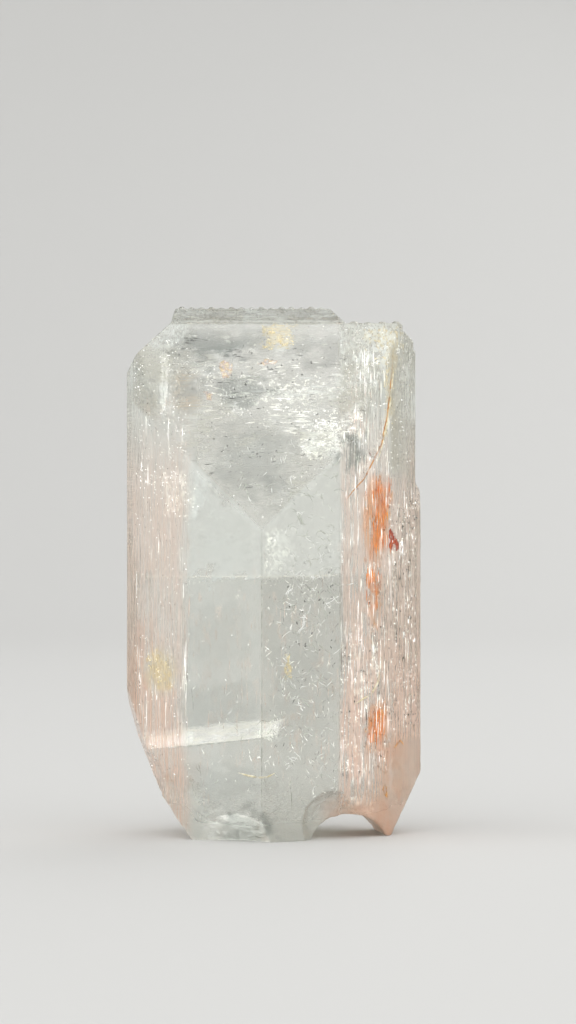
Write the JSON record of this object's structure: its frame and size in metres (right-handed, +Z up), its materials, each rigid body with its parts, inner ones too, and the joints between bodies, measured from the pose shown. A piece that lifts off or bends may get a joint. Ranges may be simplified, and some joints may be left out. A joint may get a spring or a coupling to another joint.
{
  "type": "topaz crystal",
  "caption": "Clear prismatic topaz crystal with lengthwise striated sides, a wedge of dome faces on top and a broken base with a shallow arch.",
  "frame": {"origin": "middle of the bounding box at the level of the flat break that it stands on", "axes": "+Z up along the crystal's c axis, its longest extent; -Y out of the front edge and the large front dome face; +X to the stained right side"},
  "size_m": [0.0222, 0.0164, 0.04],
  "materials": {
    "topaz": "clear, with grooved, etched and iron-stained stretches"
  },
  "bodies": {
    "root": {"topaz_crystal": "topaz"}
  },
  "joints": []
}
